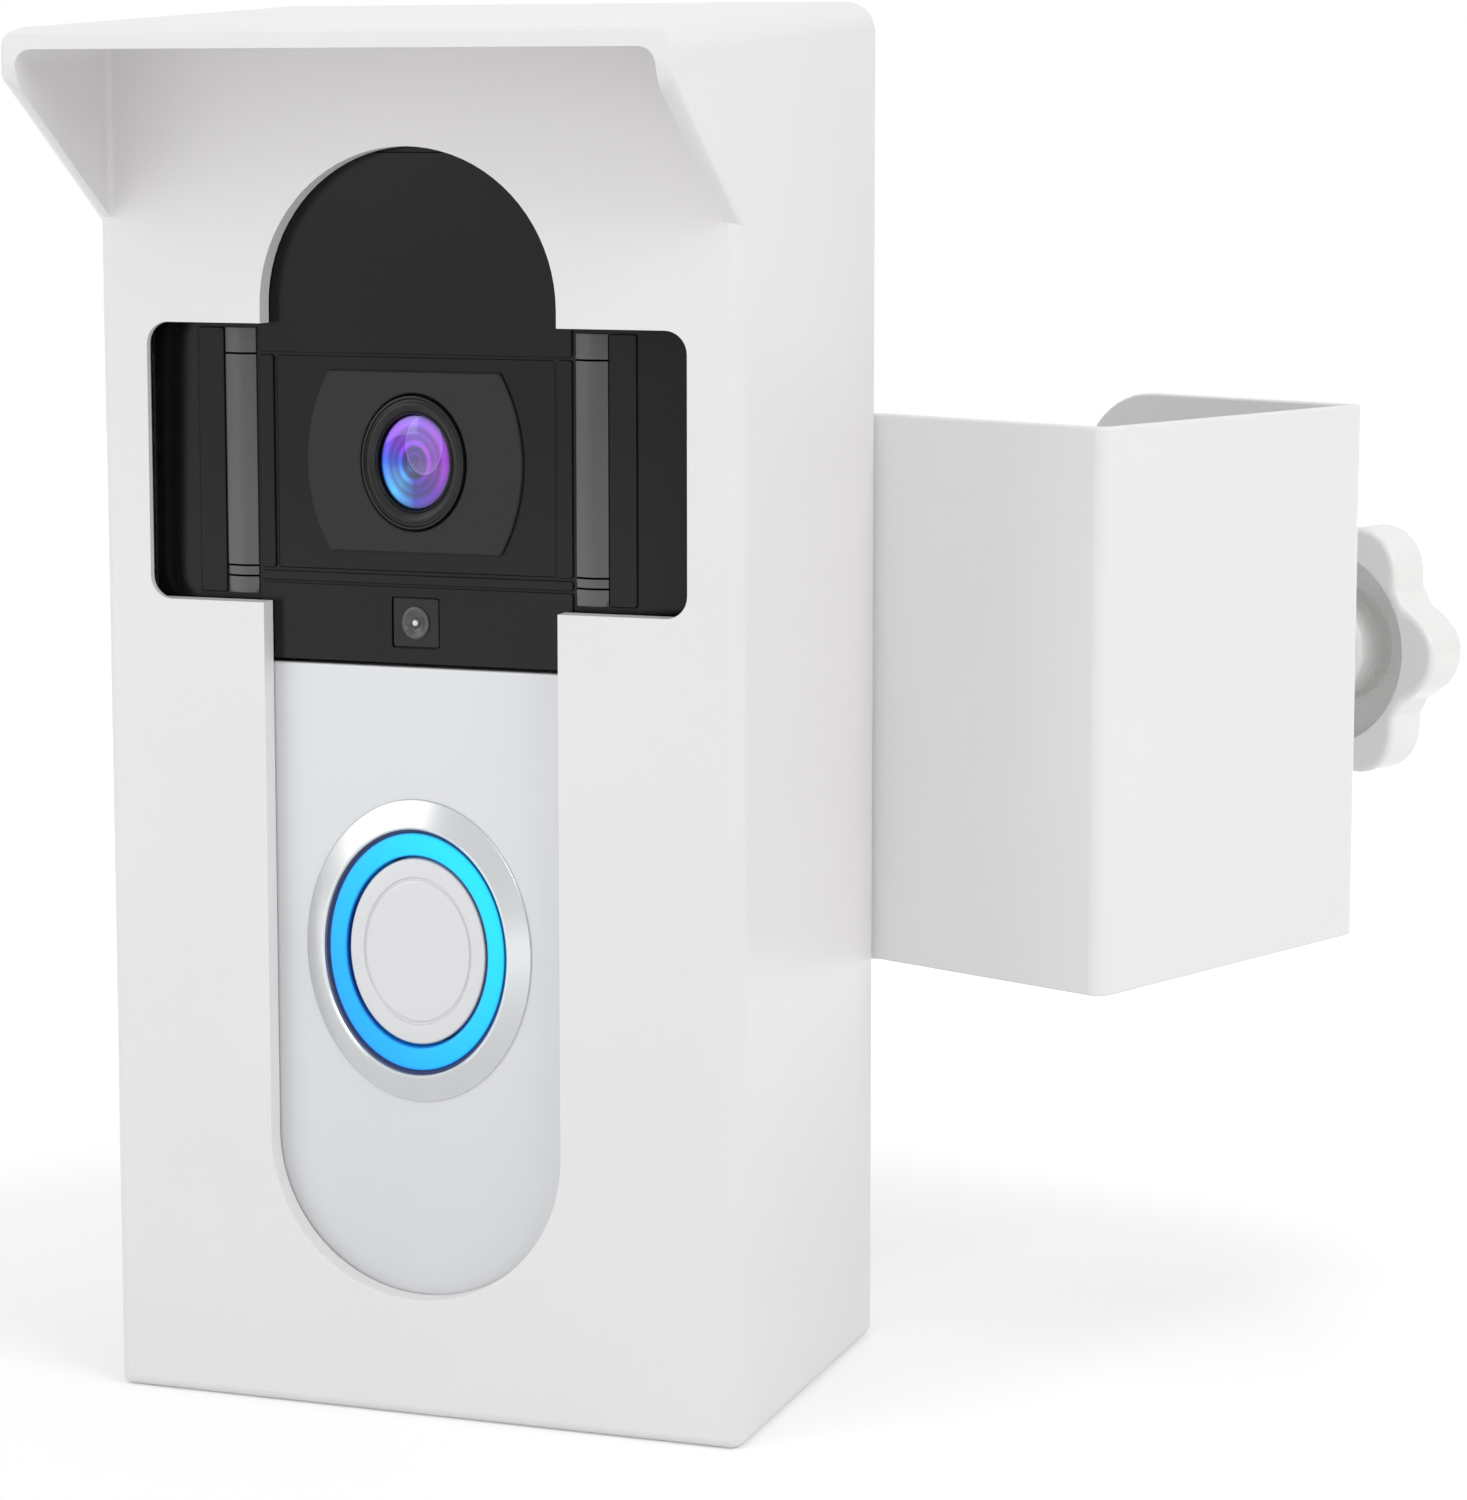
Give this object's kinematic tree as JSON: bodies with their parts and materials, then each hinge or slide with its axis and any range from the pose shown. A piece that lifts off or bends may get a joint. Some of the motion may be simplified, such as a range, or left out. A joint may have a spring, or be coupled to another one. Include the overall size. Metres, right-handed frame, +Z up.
{
  "type": "video doorbell",
  "caption": "Video doorbell in a white anti-theft housing with a rain hood, on a folded door-clamp bracket with a knob screw.",
  "frame": {"origin": "middle of the housing's flat base, on the surface it stands on", "axes": "+Z up; +Y from the front wall towards the back; +X to the right seen from the front"},
  "size_m": [0.1282, 0.1386, 0.1499],
  "materials": {
    "white_plastic": "white moulded plastic, fine satin grain",
    "white_steel": "white powder coat on folded sheet",
    "steel": "zinc plated",
    "dark_plastic": "moulded dark plastic",
    "foam": "closed-cell foam",
    "knob_plastic": "white moulded plastic, soft gloss",
    "rubber": "moulded rubber",
    "board": "circuit board",
    "black_gloss": "gloss black",
    "black_satin": "satin black",
    "grey_gloss": "smoked infrared window",
    "lens": "coated lens, purple and blue reflections",
    "satin_silver": "satin silver",
    "bezel_metal": "satin metal ring",
    "ring_light": "lit diffuser ring"
  },
  "bodies": {
    "root": {"housing": "white_plastic", "back_plate": "white_steel", "plate_screws": "steel", "riser": "dark_plastic", "riser_screws": "steel", "door_bracket": "white_steel", "bracket_bolts": "steel", "bracket_nuts": "steel", "arm_pad": "foam", "clamp_nut": "white_steel", "wall_plate": "dark_plastic", "wall_plate_screws": "steel", "rear_case": "dark_plastic", "battery": "dark_plastic", "circuit_board": "board", "case_gasket": "rubber", "front_cover": "black_gloss", "camera_panel": "black_gloss", "camera_trim": "black_satin", "lens_bezel": "black_satin", "lens_glass": "lens", "camera_module": "dark_plastic", "infrared_windows": "grey_gloss", "sensor_window": "black_satin", "faceplate": "satin_silver", "button_bezel": "bezel_metal", "light_ring": "ring_light", "button_switch": "dark_plastic", "speaker": "dark_plastic", "security_screw": "steel"},
    "button": {"button_cap": "satin_silver"},
    "foot": {"pressure_foot": "dark_plastic", "foot_pad": "rubber"},
    "knob": {"clamp_screw": "steel", "clamp_knob": "knob_plastic", "knob_cap": "knob_plastic", "foot_clip": "steel"}
  },
  "joints": [
    {"name": "button_press", "type": "slide", "parent": "root", "child": "button", "axis": [0, 1, 0], "range_m": [0, 0.001], "stiffness_N_per_m": 600, "springref_m": -0.0005},
    {"name": "clamp_travel", "type": "slide", "parent": "root", "child": "foot", "axis": [-0.3891, -0.9212, 0], "range_m": [0, 0.013]},
    {"name": "clamp_turn", "type": "hinge", "parent": "foot", "child": "knob", "pos_m": [0.0705, 0.07382, 0.0732], "axis": [-0.3891, -0.9212, 0], "range_deg": [0, 4680]}
  ],
  "couplings": [
    {"joint": "clamp_turn", "follows": "clamp_travel", "rad_per_m": 6283.2}
  ]
}
